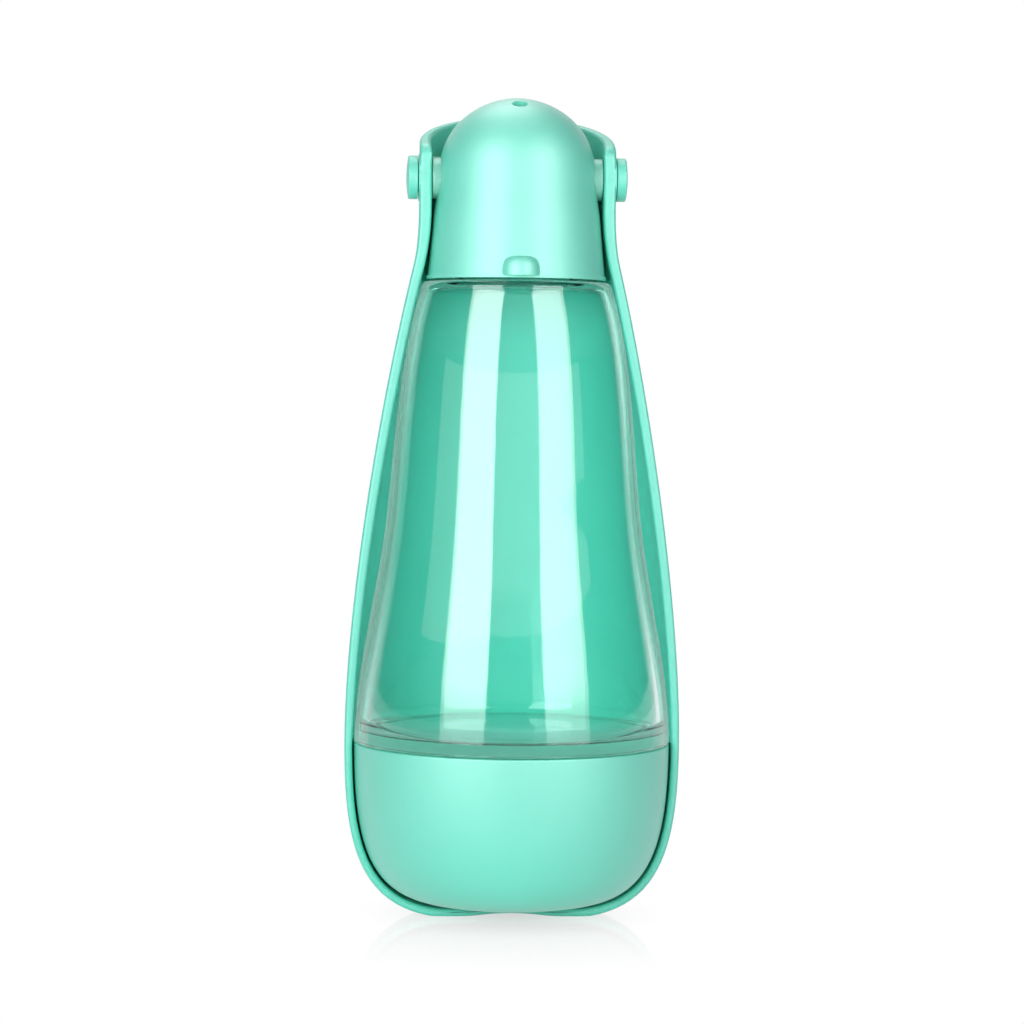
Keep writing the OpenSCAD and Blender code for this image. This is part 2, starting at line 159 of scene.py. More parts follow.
def spin(line, steps=192, turn=math.tau, centre=(0, 0, 0), axis=(0, 0, 1)):
    pick(line)
    bpy.ops.object.convert(target="MESH")
    piece = bpy.context.object
    bpy.ops.object.mode_set(mode="EDIT")
    bpy.ops.mesh.select_all(action="SELECT")
    bpy.ops.mesh.spin(steps=steps, angle=turn, center=centre, axis=axis)
    bpy.ops.mesh.select_all(action="SELECT")
    bpy.ops.mesh.remove_doubles(threshold=MERGE)
    bpy.ops.mesh.normals_make_consistent(inside=False)
    bpy.ops.object.mode_set(mode="OBJECT")
    return piece


# %% [markdown]
# ## Rounding and joining
# A moulding has no sharp edge, so a bevel rounds every edge that is sharper than an angle. Its width isn't
# clamped: a single short edge would thin the rounding everywhere. Weighted normals then keep the flat faces flat
# to the eye. What one turn of an outline can't give is joined or cut with a boolean.

# %% Rounding and joining helpers
FLATS_FIRST = 100


def soften(piece, width, segments=3, angle=32):
    """Rounds every edge sharper than the angle by a width in millimetres, and shades the piece smooth."""
    pick(piece)
    if width:
        bpy.ops.object.modifier_add(type="BEVEL")
        edge = piece.modifiers[-1]
        edge.width, edge.segments = width * MM, segments
        edge.limit_method, edge.angle_limit = "ANGLE", math.radians(angle)
        edge.use_clamp_overlap = False
        bpy.ops.object.modifier_apply(modifier=edge.name)
    bpy.ops.object.shade_smooth_by_angle(angle=math.radians(angle))
    bpy.ops.object.modifier_add(type="WEIGHTED_NORMAL")
    flats = piece.modifiers[-1]
    flats.keep_sharp, flats.weight = True, FLATS_FIRST
    bpy.ops.object.modifier_apply(modifier=flats.name)


def combine(piece, tool, operation):
    """Cuts the tool from the piece, or joins it to the piece, and removes the tool."""
    pick(piece)
    bpy.ops.object.modifier_add(type="BOOLEAN")
    cut = piece.modifiers[-1]
    cut.operation, cut.object, cut.solver = operation, tool, "EXACT"
    bpy.ops.object.modifier_apply(modifier=cut.name)
    bpy.data.objects.remove(tool)


# %% [markdown]
# ## The heights that the pieces share
# The pieces meet at a few heights: the seam between cup and tank, the shoulder, the foot of the cap and the
# hinge axis. Reading them from the frame keeps every piece on its node. The gap of 0.3 mm is the clearance that
# lets one piece turn on the next.

# %% Shared sizes
GAP, NECK_H = 0.3, 17.5
cup_low, cup_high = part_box("base_cup")
bottle_r = cup_high.x / MM
cup_z = cup_low.z / MM
cup_top = cup_high.z / MM
seam_z = cup_top + GAP
shoulder_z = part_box("tank")[1].z / MM - NECK_H
cap_z = shoulder_z + 2 * GAP
pin_low, pin_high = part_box("hinge_pin_right")
pin_z = (pin_low.z + pin_high.z) / 2 / MM
dome_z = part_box("cap_shell")[1].z / MM
print("seam", round(seam_z, 2), "shoulder", round(shoulder_z, 2), "hinge", round(pin_z, 2))

# %% [markdown]
# ## The clear tank
# The tank is a thick-walled clear bottle with an S-curved side, a flat shoulder, a threaded neck and a spigot
# below its floor that screws into the cup. Both faces of its wall matter, because light bends at each of them
# and draws the dark and bright lines of its edges. So the outline is drawn as the whole cut wall, outside and
# inside, and turned once. A single sheet with a thickness modifier would give a wall of one thickness only.

# %% Section of the tank's side
tank_h = shoulder_z - seam_z
FOOT_PULL, WAIST_R, WAIST_H, WAIST_LEAN, WAIST_DOWN, WAIST_UP = 19.3, 35.6, 65.3, 0.1, 22, 20
SHOULDER_R, SHOULDER_ROUND, SHOULDER_IN, SHOULDER_DOWN = 27.3, 2.4, 5.4, 16
WALL_FOOT, WALL, ROOF, ROOF_ROUND, FLOOR, FLOOR_ROUND = 3.2, 2.4, 2.0, 1.0, 3.0, 2.0

waist, side_top = (WAIST_R, WAIST_H), (SHOULDER_R, tank_h - SHOULDER_ROUND)
side_low = bend((bottle_r, 0), (bottle_r, FOOT_PULL), (WAIST_R + WAIST_DOWN * WAIST_LEAN, WAIST_H - WAIST_DOWN),
                waist)
side_high = bend(waist, (WAIST_R - WAIST_UP * WAIST_LEAN, WAIST_H + WAIST_UP),
                 (SHOULDER_R + SHOULDER_IN, side_top[1] - SHOULDER_DOWN), side_top)
shoulder = rounded(side_top, (SHOULDER_R, tank_h), (SHOULDER_R - SHOULDER_ROUND, tank_h))
inside = inset(side_low, WALL_FOOT, WALL) + inset(side_high, WALL, WALL)[1:]
roof_z = tank_h - ROOF
inside = [p for p in inside if FLOOR + FLOOR_ROUND < p[1] < roof_z - ROOF_ROUND]
foot_in, last = inside[0], inside[-1]
roof_corner = (last[0] - SHOULDER_IN / SHOULDER_DOWN * (roof_z - last[1]), roof_z)
roof = rounded(last, roof_corner, (roof_corner[0] - ROOF_ROUND, roof_z))
floor_round = rounded((foot_in[0] - FLOOR_ROUND, FLOOR), (foot_in[0], FLOOR), foot_in, 12)
print("tank wall at the foot", round(bottle_r - foot_in[0], 2), "mm")

# %% [markdown]
# The threads are three plain raised rings on the neck and one on the spigot, and the seal of the cup sits in a
# groove of the spigot. They belong to the same outline, so they come out of the same turn.

# %% Turn the tank
NECK_R, NECK_WALL, NECK_PITCH, NECK_RINGS = 17.5, 2.2, 4, (3, 2, 1)
RIM_WALL, RING_R, RING_SUNK = 2.65, 1.0, 0.75
SPIGOT_WALL, SPIGOT_H, SPIGOT_RING_UP, GROOVE_Z, GROOVE_PLAY = 2.6, 10, 1.8, -2.6, 0.1


def thread(r, z, out=0.9, root=1.8, crest=0.6):
    """The outline of one raised ring, going up the outside."""
    return [(r, z - root / 2), (r + out, z - crest / 2), (r + out, z + crest / 2), (r, z + root / 2)]


spigot_r = bottle_r - RIM_WALL - GAP - 2 * RING_R + RING_SUNK
groove_r = spigot_r - RING_SUNK - GROOVE_PLAY
groove_h = 2 * RING_R + 2 * GAP
spigot = [(spigot_r - SPIGOT_WALL, 0), (spigot_r - SPIGOT_WALL, -SPIGOT_H), (spigot_r, -SPIGOT_H)]
spigot += thread(spigot_r, -SPIGOT_H + SPIGOT_RING_UP)
spigot += [(spigot_r, GROOVE_Z - groove_h / 2), (groove_r, GROOVE_Z - groove_h / 2),
           (groove_r, GROOVE_Z + groove_h / 2), (spigot_r, GROOVE_Z + groove_h / 2), (spigot_r, 0)]
neck = [(NECK_R, tank_h)]
for ring in NECK_RINGS:
    neck += thread(NECK_R, tank_h + NECK_H - NECK_PITCH * ring)
neck += [(NECK_R, tank_h + NECK_H), (NECK_R - NECK_WALL, tank_h + NECK_H), (NECK_R - NECK_WALL, roof_z)]
wall = [(0, 0)] + spigot + side_low + side_high[1:] + shoulder[1:] + neck
wall += roof[::-1] + inside[-2:0:-1] + floor_round[::-1] + [(0, FLOOR)]
tank = spin(draw("clear_tank", [(r, z + seam_z) for r, z in wall]))
soften(tank, 0.25)
compare(tank, "tank")

# %% [markdown]
# ## The cup below the tank
# The base is a separate mint cup, flush with the tank, that unscrews from the spigot. It is turned from its
# whole section as the tank is, and a small rounding on its rim leaves the thin dark seam that shows where two
# mouldings meet.

# %% Cup
CUP_FLAT_R, CUP_PULL_IN, CUP_PULL_DOWN, CUP_WALL = 20, 4, 27, 2.4
cup_side = bend((CUP_FLAT_R, cup_z), (bottle_r - CUP_PULL_IN, cup_z), (bottle_r, cup_top - CUP_PULL_DOWN),
                (bottle_r, cup_top))
cup_in = [p for p in inset(cup_side, CUP_WALL, RIM_WALL) if p[1] < cup_top - 1]
section = [(0, cup_z)] + cup_side + [(bottle_r - RIM_WALL, cup_top)] + cup_in[::-1] + [(0, cup_z + CUP_WALL)]
cup = spin(draw("food_cup", section))
soften(cup, 0.5)
compare(cup, "base_cup")

# %% [markdown]
# ## The cap
# The cap is a thin dome on a slightly leaning side, with a narrow lip at its foot. The shell is turned from its
# section: the same line drawn twice, once at the outside and once as deep as the wall is thick.

# %% Cap shell
CAP_FOOT_R, CAP_R, CAP_WALL, LIP_OUT, LIP_H = 25.0, 22.2, 2.0, 0.3, 1.1
SIDE_H, SIDE_IN, SIDE_PULL, DOME_PULL_UP, DOME_PULL_IN = 16, 1.4, 0.4, 0.74, 0.38
dome_h = dome_z - pin_z


def cap_line(depth):
    """The outside of the cap, drawn in by a depth, from its foot to the top of the dome."""
    top = (CAP_FOOT_R - SIDE_IN - depth, cap_z + SIDE_H)
    rise = pin_z - top[1]
    r, h = CAP_R - depth, dome_h - depth
    side = bend(top, (top[0] - SIDE_IN / SIDE_H * rise * SIDE_PULL, top[1] + rise * SIDE_PULL),
                (r, pin_z - rise * SIDE_PULL), (r, pin_z), 12)
    dome = bend((r, pin_z), (r, pin_z + DOME_PULL_UP * h), (DOME_PULL_IN * r, pin_z + h), (0, pin_z + h), 32)
    return [(CAP_FOOT_R - depth, cap_z)] + side + dome[1:]


outside = cap_line(0)
lip_top_r = radius_at(outside, cap_z + LIP_H)
lip = [(CAP_FOOT_R + LIP_OUT, cap_z), (CAP_FOOT_R + LIP_OUT, cap_z + LIP_H), (lip_top_r, cap_z + LIP_H)]
cap = spin(draw("dome_cap", cap_line(CAP_WALL)[::-1] + lip + outside[1:]))
print("cap wall", CAP_WALL, "mm, dome", round(dome_h, 2), "mm high")

# %% [markdown]
# A small rounded lug stands on the lip at the front, just below the end of the tray when the tray is up. It is
# turned about an upright axis of its own, moved to the front and joined to the shell, which gives the half-round
# face that such a lug has. A block would have to be rounded on every side to look like it.

# %% Rest lug
LUG_R, LUG_TOP_R, LUG_H, LUG_OUT, LUG_SUNK, LUG_PULL, LUG_ROUND = 5.5, 4.1, 4.8, 3.0, 0.5, 0.4, 0.8
lug_y = -(CAP_FOOT_R + LUG_OUT - LUG_R)
lug_z = cap_z + LIP_H
edge = (LUG_R - LUG_TOP_R) * LUG_ROUND
lug_line = [(0, lug_z - LUG_SUNK), (LUG_R, lug_z - LUG_SUNK)]
lug_line += bend((LUG_R, lug_z), (LUG_R, lug_z + LUG_H * LUG_PULL), (LUG_TOP_R + edge, lug_z + LUG_H - edge),
                 (LUG_TOP_R, lug_z + LUG_H - edge * LUG_PULL), 8)
lug_line += [(LUG_TOP_R - edge, lug_z + LUG_H), (0, lug_z + LUG_H)]
lug = spin(draw("lug", lug_line), 64)
pick(lug)
bpy.ops.transform.translate(value=(0, lug_y * MM, 0))
combine(cap, lug, "UNION")
print("lug stands out", LUG_OUT, "mm and is", LUG_H, "mm high")

# %% [markdown]
# ## The hinge
# The parts of the hinge lie along the X axis at the height of the pins. Their outlines give a distance from the
# middle and a radius, and are spun about that axis. The left one is the right one mirrored: a mirrored mesh is
# inside out, so its normals are recalculated.

# %% Hinge helpers
def along_hinge(name, points, steps=96):
    """A body turned about the hinge axis, from points (distance from the middle, radius)."""
    line = draw(name, [(x, pin_z + r) for x, r in points])
    return spin(line, steps, centre=(0, 0, pin_z * MM), axis=(1, 0, 0))


def other_side(piece, name):
    """A copy of the piece on the left, with its own mesh."""
    pick(piece)
    bpy.ops.object.duplicate()
    twin = bpy.context.object
    twin.name = name
    bpy.ops.object.mode_set(mode="EDIT")
    bpy.ops.mesh.select_all(action="SELECT")
    bpy.ops.transform.mirror(constraint_axis=(True, False, False), orient_type="GLOBAL", center_override=(0, 0, 0))
    bpy.ops.mesh.normals_make_consistent(inside=False)
    bpy.ops.object.mode_set(mode="OBJECT")
    return twin


def on_both_sides(piece, tool, operation):
    """Joins a tool of the right side to the piece, or cuts it, and does the same on the left."""
    twin = other_side(tool, "twin")
    combine(piece, tool, operation)
    combine(piece, twin, operation)


# %% [markdown]
# Two round bosses inside the cap hold the shafts of the pins, and a round seat in the cap's side takes the flange
# of each bush. The bosses are joined first, so that one cut makes the seat in the shell and the bore in the boss.

# %% Bosses, seats and bores of the cap
SEAT_IN, SEAT_PLAY, PIN_DEPTH, PIN_R, SHAFT_GAP, BOSS_R, BOSS_END = 1.0, 0.2, 7.5, 3.0, 0.05, 6.3, 1.6
FLANGE_R, FLANGE_T, BUSH_R = 5.9, 2.65, 4.0
seat_x = CAP_R - SEAT_IN
boss_x = seat_x - PIN_DEPTH - BOSS_END
boss = along_hinge("boss", [(boss_x, 0), (boss_x, BOSS_R), (seat_x, BOSS_R), (seat_x, 0)])
bore_r = PIN_R + SHAFT_GAP
seat_cut = [(seat_x - PIN_DEPTH, 0), (seat_x - PIN_DEPTH, bore_r), (seat_x, bore_r), (seat_x, FLANGE_R + SEAT_PLAY),
            (seat_x + FLANGE_T, FLANGE_R + SEAT_PLAY), (seat_x + FLANGE_T, 0)]
seat = along_hinge("seat", seat_cut)
on_both_sides(cap, boss, "UNION")
on_both_sides(cap, seat, "DIFFERENCE")
print("seats are", round(2 * seat_x, 2), "mm apart")

# %% [markdown]
# The outlet is a small hole near the top of the dome that leans to the front. Below it, a wider pocket in a boss
# holds the slit valve. The tool is turned upright about the bottle's axis, and a matrix then tilts its mesh about
# the hinge axis, so its object stays at the origin.

# %% Outlet
OUTLET_R, OUTLET_LEAN, OUTLET_WALL, OUTLET_BOSS_R, OUTLET_BOSS_H = 2.2, 26, 2.5, 5.6, 5.5
VALVE_R, VALVE_PLAY, PAST_FOOT, PAST_DOME = 4.1, 0.1, 1, 3


def on_outlet(name, points, steps=64):
    """A body turned about the outlet's axis, from points (radius, distance from the middle of the dome)."""
    tool = spin(draw(name, [(r, pin_z + d) for r, d in points]), steps)
    lean = Matrix.Translation((0, 0, pin_z * MM)) @ Matrix.Rotation(math.radians(OUTLET_LEAN), 4, "X")
    tool.data.transform(lean @ Matrix.Translation((0, 0, -pin_z * MM)))
    return tool


foot = dome_h - CAP_WALL - OUTLET_BOSS_H
valve_top = dome_h - OUTLET_WALL
boss_top = foot + OUTLET_BOSS_H + CAP_WALL / 2
outlet_boss = on_outlet("outlet_boss", [(0, foot), (OUTLET_BOSS_R, foot), (OUTLET_BOSS_R, boss_top), (0, boss_top)])
combine(cap, outlet_boss, "UNION")
pocket_r = VALVE_R + VALVE_PLAY
pocket = [(0, foot - PAST_FOOT), (pocket_r, foot - PAST_FOOT), (pocket_r, valve_top), (OUTLET_R, valve_top),
          (OUTLET_R, dome_h + PAST_DOME), (0, dome_h + PAST_DOME)]
combine(cap, on_outlet("pocket", pocket), "DIFFERENCE")
soften(cap, 0)
compare(cap, "cap_shell")

# %% [markdown]
# ## The pins
# Each pin is one moulding: a shaft that is pressed into the boss, and a round knob outside the ear with a
# slightly domed face. It is turned about the hinge axis from half its outline.

# %% Pins
EAR_WALL, PLAY, EAR_SEAT_OUT, SHAFT_SHORT = 3.4, 0.25, 0.2, 0.1
KNOB_R, KNOB_T, KNOB_DOME, KNOB_ROUND = 6.1, 2.7, 0.5, 0.5
ear_in_x = seat_x + FLANGE_T + PLAY
ear_out_x = ear_in_x + EAR_WALL
sleeve_x = ear_out_x + EAR_SEAT_OUT
knob_x = sleeve_x + PLAY
shaft_x = seat_x - PIN_DEPTH + SHAFT_SHORT
face_x, face_r = knob_x + KNOB_T, KNOB_R - KNOB_ROUND
pin_line = [(shaft_x, 0), (shaft_x, PIN_R), (knob_x, PIN_R), (knob_x, KNOB_R)]
pin_line += rounded((face_x - KNOB_ROUND, KNOB_R), (face_x, KNOB_R), (face_x, face_r))
pin_line += rounded((face_x, face_r), (face_x + KNOB_DOME, face_r / 2), (face_x + KNOB_DOME, 0), 12)[1:]
pin_right = along_hinge("pin_right", pin_line)
soften(pin_right, 0.2)
compare(pin_right, "hinge_pin_right")

# %% [markdown]
# ## The bushes
# A milky bush around each shaft carries the ear of the tray, and its flange keeps the ear off the cap. Its
# outline closes on itself away from the axis, so the spin gives a ring with a bore. Pin and bush are made once,
# on the right, and copied to the left.

# %% Bushes
bush_line = [(seat_x, bore_r), (seat_x, FLANGE_R), (seat_x + FLANGE_T, FLANGE_R), (seat_x + FLANGE_T, BUSH_R),
             (sleeve_x, BUSH_R), (sleeve_x, bore_r), (seat_x, bore_r)]
bush_right = along_hinge("bush_right", bush_line)
soften(bush_right, 0.15)
compare(bush_right, "hinge_bush_right")
pin_left = other_side(pin_right, "pin_left")
bush_left = other_side(bush_right, "bush_left")
print("left pin from", round(size_mm(pin_left)[0][0], 2), "mm, left bush from", round(size_mm(bush_left)[0][0], 2))

# %% [markdown]
# ## The drinking tray
# The tray is half a shell of revolution that follows the bottle from the hinge down and under the cup. Its
# outside rises from a hollow in the foot, hugs the cup, leans in to a collar and bends into the upright ears. Its
# wall grows thicker towards the collar, is thickest in the ears, and thins again from the ears to the back of its
# end. The collar is where the side of the tray bends into the ears.

# %% Values of the tray
TRAY_WALL, COLLAR_WALL, COLLAR_POWER, TRAY_FLOOR, TRAY_GAP, FOOT_GAP = 2.2, 3.0, 0.35, 2.2, 0.4, 1.8
GAP_LATE, FOOT_FLAT, HOLLOW_R, HOLLOW_H = 5, 0.3, 16, 0.9
COLLAR_OUT, COLLAR_UP, LEAN, COLLAR_PULL, SEAM_PULL, EAR_DOWN, EAR_PULL, NECK_PULL = 1.6, 4.6, 0.24, 40, 36, 9, 6, 4
EAR_SEAT_R, THIN_UP, TOP_UP = 6.6, 22, 24
tray_r = bottle_r + TRAY_GAP + TRAY_WALL
end_in_x = ear_out_x - TRAY_WALL
collar = (SHOULDER_R + COLLAR_OUT, shoulder_z + COLLAR_UP)
print("tray", round(2 * tray_r, 1), "mm wide, collar at", [round(v, 1) for v in collar])

# %% [markdown]
# The section of the shell is one closed line: down the outside from the end to the foot, and back up the inside.

# %% Section of the tray
def hug(wall, floor, lowest):
    """The line that follows the cup from the seam down to the foot, moved out by the gap and the wall."""
    line = inset(cup_side[::-1], TRAY_GAP + wall, FOOT_GAP + floor, GAP_LATE)
    return [(r, max(z, lowest)) for r, z in line]


def ear_bend(x, depth, end):
    """The bend from the ear down to the end of a line that lies as deep inside the collar."""
    return bend((x, pin_z - EAR_DOWN), (x, pin_z - EAR_DOWN - EAR_PULL),
                (collar[0] - depth - NECK_PULL * LEAN, collar[1] + NECK_PULL), end, 10)


side = bend(collar, (collar[0] + COLLAR_PULL * LEAN, collar[1] - COLLAR_PULL), (tray_r, seam_z + SEAM_PULL),
            (tray_r, seam_z))
side_in = inset(side[::-1], TRAY_WALL, COLLAR_WALL, COLLAR_POWER)
tray_out = [(ear_out_x, pin_z + TOP_UP)] + ear_bend(ear_out_x, 0, collar) + side[1:]
tray_out += hug(TRAY_WALL, TRAY_FLOOR + FOOT_FLAT, 0)
tray_out += bend((HOLLOW_R, 0), (HOLLOW_R / 2, 0), (HOLLOW_R / 2, HOLLOW_H), (0, HOLLOW_H), 12)
tray_in = [(0, TRAY_FLOOR)] + hug(0, 0, TRAY_FLOOR)[::-1] + side_in[1:]
tray_in += ear_bend(ear_in_x, COLLAR_WALL, side_in[-1])[::-1][1:]
tray_in += [(ear_in_x, pin_z + EAR_SEAT_R), (end_in_x, pin_z + THIN_UP), (end_in_x, pin_z + TOP_UP)]
print("points in the section of the tray:", len(tray_out) + len(tray_in))

# %% [markdown]
# The section is spun through half a turn, which leaves the front open. The border of the opening is one flat
# loop, so it is filled, and the new face is extruded forwards: that gives the straight rim, which stands a little
# in front of the middle plane.

# %% Spin, fill and extrude the tray
RIM_Y, HALF_STEPS = 6.5, 112
tray = spin(draw("drinking_tray", tray_out[::-1] + tray_in[::-1]), HALF_STEPS, -math.pi)
print("tray turned towards", "+Y" if size_mm(tray)[1][1] > 1 else "-Y")
pick(tray)
bpy.ops.object.mode_set(mode="EDIT")
bpy.ops.mesh.select_mode(type="EDGE")
bpy.ops.mesh.select_all(action="DESELECT")
bpy.ops.mesh.select_non_manifold(extend=False, use_wire=False, use_multi_face=False, use_non_contiguous=False,
                                 use_verts=False, use_boundary=True)
bpy.ops.mesh.edge_face_add()
bpy.ops.mesh.select_mode(type="FACE")
bpy.ops.mesh.extrude_region_move(TRANSFORM_OT_translate={"value": (0, -RIM_Y * MM, 0)})
bpy.ops.mesh.select_all(action="SELECT")
bpy.ops.mesh.remove_doubles(threshold=MERGE)
bpy.ops.mesh.normals_make_consistent(inside=False)
print("rim stands", RIM_Y, "mm in front of the middle")

# %% [markdown]
# The end behind the dome slopes down to the front. It is one bisect through the whole shell, with the cut filled.
# Two level bisects, one under the rounded corners and one below the seats of the pins, only divide the long faces
# of the rim, so that corners and seats don't pull the shading of the whole rim.

# %% Slope the end of the tray
END_UP, END_SLOPE, CORNER_FOOT = 10.5, 18.5, 3.0
slope = math.radians(END_SLOPE)
for up in (CORNER_FOOT, -EAR_SEAT_R - 1):
    bpy.ops.mesh.select_all(action="SELECT")
    bpy.ops.mesh.bisect(plane_co=(0, 0, (pin_z + up) * MM), plane_no=(0, 0, 1), use_fill=False)
bpy.ops.mesh.select_all(action="SELECT")
bpy.ops.mesh.bisect(plane_co=(0, 0, (pin_z + END_UP) * MM), plane_no=(0, -math.sin(slope), math.cos(slope)),
                    use_fill=True, clear_outer=True, clear_inner=False)
bpy.ops.mesh.select_mode(type="EDGE")
bpy.ops.mesh.select_all(action="DESELECT")
bpy.ops.object.mode_set(mode="OBJECT")
print("top of the tray", round(size_mm(tray)[1][2], 2), "mm")

# %% [markdown]
# The two corners where that slope meets the front rim are found by their place and bevelled as edges, in enough
# steps to make them round. Then every edge of the shell gets the soft rounding that its rim has.

# %% Round the ears and the rim
EAR_ROUND, CORNER_STEPS, RIM_ROUND, RIM_STEPS, RIM_SHARP = 5, 12, 1.05, 6, 38
ON_RIM, ON_CORNER = 0.001 * MM, 0.01 * MM
corner_z = (pin_z + END_UP - RIM_Y * math.tan(slope)) * MM
points = tray.data.vertices
corners = 0
for e in tray.data.edges:
    ends = [points[i].co for i in e.vertices]
    e.select = all(abs(p.y + RIM_Y * MM) < ON_RIM and abs(p.z - corner_z) < ON_CORNER for p in ends)
    corners += e.select
print("corner edges of the ears:", corners)
bpy.ops.object.mode_set(mode="EDIT")
reach = EAR_ROUND * math.tan((math.pi / 2 - slope) / 2)
bpy.ops.mesh.bevel(offset_type="OFFSET", offset=reach * MM, segments=CORNER_STEPS, profile=0.5, affect="EDGES")
bpy.ops.object.mode_set(mode="OBJECT")
soften(tray, RIM_ROUND, RIM_STEPS, RIM_SHARP)
print("tray faces:", len(tray.data.polygons))

# %% [markdown]
# Each ear has a thin round pad outside and a round hollow inside, with the bore for the bush in the middle. They
# come after the rim is rounded, so their own edges stay crisp.

# %% Seats and bores in the ears
pad = along_hinge("pad", [(ear_in_x + EAR_WALL / 2, 0), (ear_in_x + EAR_WALL / 2, EAR_SEAT_R),
                          (sleeve_x, EAR_SEAT_R), (sleeve_x, 0)])
bush_hole_r = BUSH_R + SHAFT_GAP
clearance = along_hinge("clearance", [(0, 0), (0, EAR_SEAT_R), (ear_in_x, EAR_SEAT_R), (ear_in_x, bush_hole_r),
                                      (ear_out_x + 1, bush_hole_r), (ear_out_x + 1, 0)])
on_both_sides(tray, pad, "UNION")
on_both_sides(tray, clearance, "DIFFERENCE")
soften(tray, 0)
compare(tray, "tray")

# %% [markdown]
# ## Which piece stands for which node
# Every new piece rides on the CAD body that carries it, names the material slot it is painted from, and hides
# the CAD node it stands for. The liner, the seals and the slit valve keep their CAD shapes.

# %% Bodies, slots and nodes
stands_for = [
    (tank, "bottle", "clear_plastic", "tank"),
    (cup, "base", "mint_plastic", "base_cup"),
    (cap, "cap", "mint_plastic", "cap_shell"),
    (pin_right, "cap", "mint_plastic", "hinge_pin_right"),
    (pin_left, "cap", "mint_plastic", "hinge_pin_left"),
    (bush_right, "cap", "clear_plastic", "hinge_bush_right"),
    (bush_left, "cap", "clear_plastic", "hinge_bush_left"),
    (tray, "tray", "mint_plastic", "tray"),
]
for piece, body, slot, node in stands_for:
    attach(piece, body)
    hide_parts(node)
    print(piece.name, "rides on", body, "and stands for", node)

# %% [markdown]
# ## Writing shaders as sums
# A finish is easier to read as a sum than as boxes and wires. This small class wraps one socket, so that an
# expression on sockets adds its own Math nodes, and one method adds any other node with its settings first and
# its inputs after.

# %% Shader classes
class Socket:
    def __init__(self, tree, socket):
        self.tree, self.socket = tree, socket

    def math(self, operation, other, flip=False):
        node = self.tree.nodes.new("ShaderNodeMath")
        node.operation = operation
        pair = [self, other] if not flip else [other, self]
        for slot, value in zip(node.inputs, pair):
            put(self.tree, slot, value)
        return Socket(self.tree, node.outputs[0])

    def __add__(self, other): return self.math("ADD", other)
    def __radd__(self, other): return self.math("ADD", other, True)
    def __sub__(self, other): return self.math("SUBTRACT", other)
    def __rsub__(self, other): return self.math("SUBTRACT", other, True)
    def __mul__(self, other): return self.math("MULTIPLY", other)
    def __rmul__(self, other): return self.math("MULTIPLY", other, True)
    def __pow__(self, other): return self.math("POWER", other)


def put(tree, slot, value):
    if isinstance(value, Socket):
        tree.links.new(value.socket, slot)
    else:
        slot.default_value = value


class Shader:
    """One material, lamp or world, with a method that adds any node."""

    def __init__(self, owner):
        owner.use_nodes = True
        self.owner, self.tree = owner, owner.node_tree
        self.tree.nodes.clear()

    def node(self, kind, output=0, settings=None, **inputs):
        node = self.tree.nodes.new("ShaderNode" + kind)
        for name, value in (settings or {}).items():
            setattr(node, name, value)
        for name, value in inputs.items():
            name = name.replace("_", " ")
            slot = node.inputs[int(name[3:])] if name.startswith("at ") else node.inputs[name]
            put(self.tree, slot, value)
        return Socket(self.tree, node.outputs[output])

    def finish(self, surface, kind="OutputMaterial"):
        out = self.tree.nodes.new("ShaderNode" + kind)
        self.tree.links.new(surface.socket, out.inputs["Surface"])
        return self.owner


# %% [markdown]
# A few patterns come back in every finish: noise over the piece's own coordinates, a colour between two others,
# and a number that eases from one level to another. Each is named once.

# %% Shader helpers
def material(name):
    return Shader(bpy.data.materials.new(name))


def noise(shader, scale, detail=2, rough=0.5):
    """Noise over the piece's own coordinates, with as many cells to the metre as the scale says."""
    where = shader.node("TexCoord", output="Object")
    return shader.node("TexNoise", Vector=where, Scale=scale, Detail=detail, Roughness=rough)


def between(shader, share, a, b):
    """The colour that is the share of the way from a to b."""
    return shader.node("Mix", output=2, settings={"data_type": "RGBA"}, at_0=share, at_6=(*a, 1), at_7=(*b, 1))


def ease(shader, value, start, end, low=0.0, high=1.0):
    """Goes smoothly from low to high while the value goes from start to end."""
    return shader.node("MapRange", settings={"interpolation_type": "SMOOTHSTEP"}, Value=value, at_1=start,
                       at_2=end, at_3=low, at_4=high)


def wear(finish, *pieces):
    for piece in pieces:
        piece.data.materials.clear()
        piece.data.materials.append(finish)
    print(finish.name, "on", [p.name for p in pieces])


# %% [markdown]
# ## Mint plastic
# The mint pieces are satin polypropylene. Its colour is even, but real mouldings drift a little in shade, and
# their polish is never even: a broad noise moves the colour by a hint, a middle one moves the roughness, and a
# fine one gives the skin of the mould as a bump of a few hundredths of a millimetre. Satin plastic has a broad
# whitish sheen over a deep colour, and a rough coat gives it. Cup and cap have more of it than tray and pins.

# %% Mint finish
MINT, MINT_DEEP, MINT_DRIFT = (0.125, 0.710, 0.550), (0.105, 0.665, 0.510), 0.9
SATIN, SATIN_DRIFT, SKIN, SKIN_DEPTH, MINT_IOR = 0.39, 0.10, 0.5, 0.04 * MM, 1.58
SHEEN_FULL, SHEEN_LOW, SHEEN_ROUGH, SHEEN_IOR = 1.0, 0.35, 0.6, 1.75


def mint_finish(name, sheen):
    shader = material(name)
    drift = noise(shader, 38, 3)
    polish = noise(shader, 260, 4)
    grain = noise(shader, 2600, 3, 0.6)
    colour = between(shader, drift * MINT_DRIFT, MINT, MINT_DEEP)
    bump = shader.node("Bump", Strength=SKIN, Distance=SKIN_DEPTH, Height=grain)
    surface = shader.node("BsdfPrincipled", Base_Color=colour, Roughness=polish * SATIN_DRIFT + SATIN, Normal=bump,
                          IOR=MINT_IOR, Coat_Weight=sheen, Coat_Roughness=SHEEN_ROUGH, Coat_IOR=SHEEN_IOR)
    return shader.finish(surface)


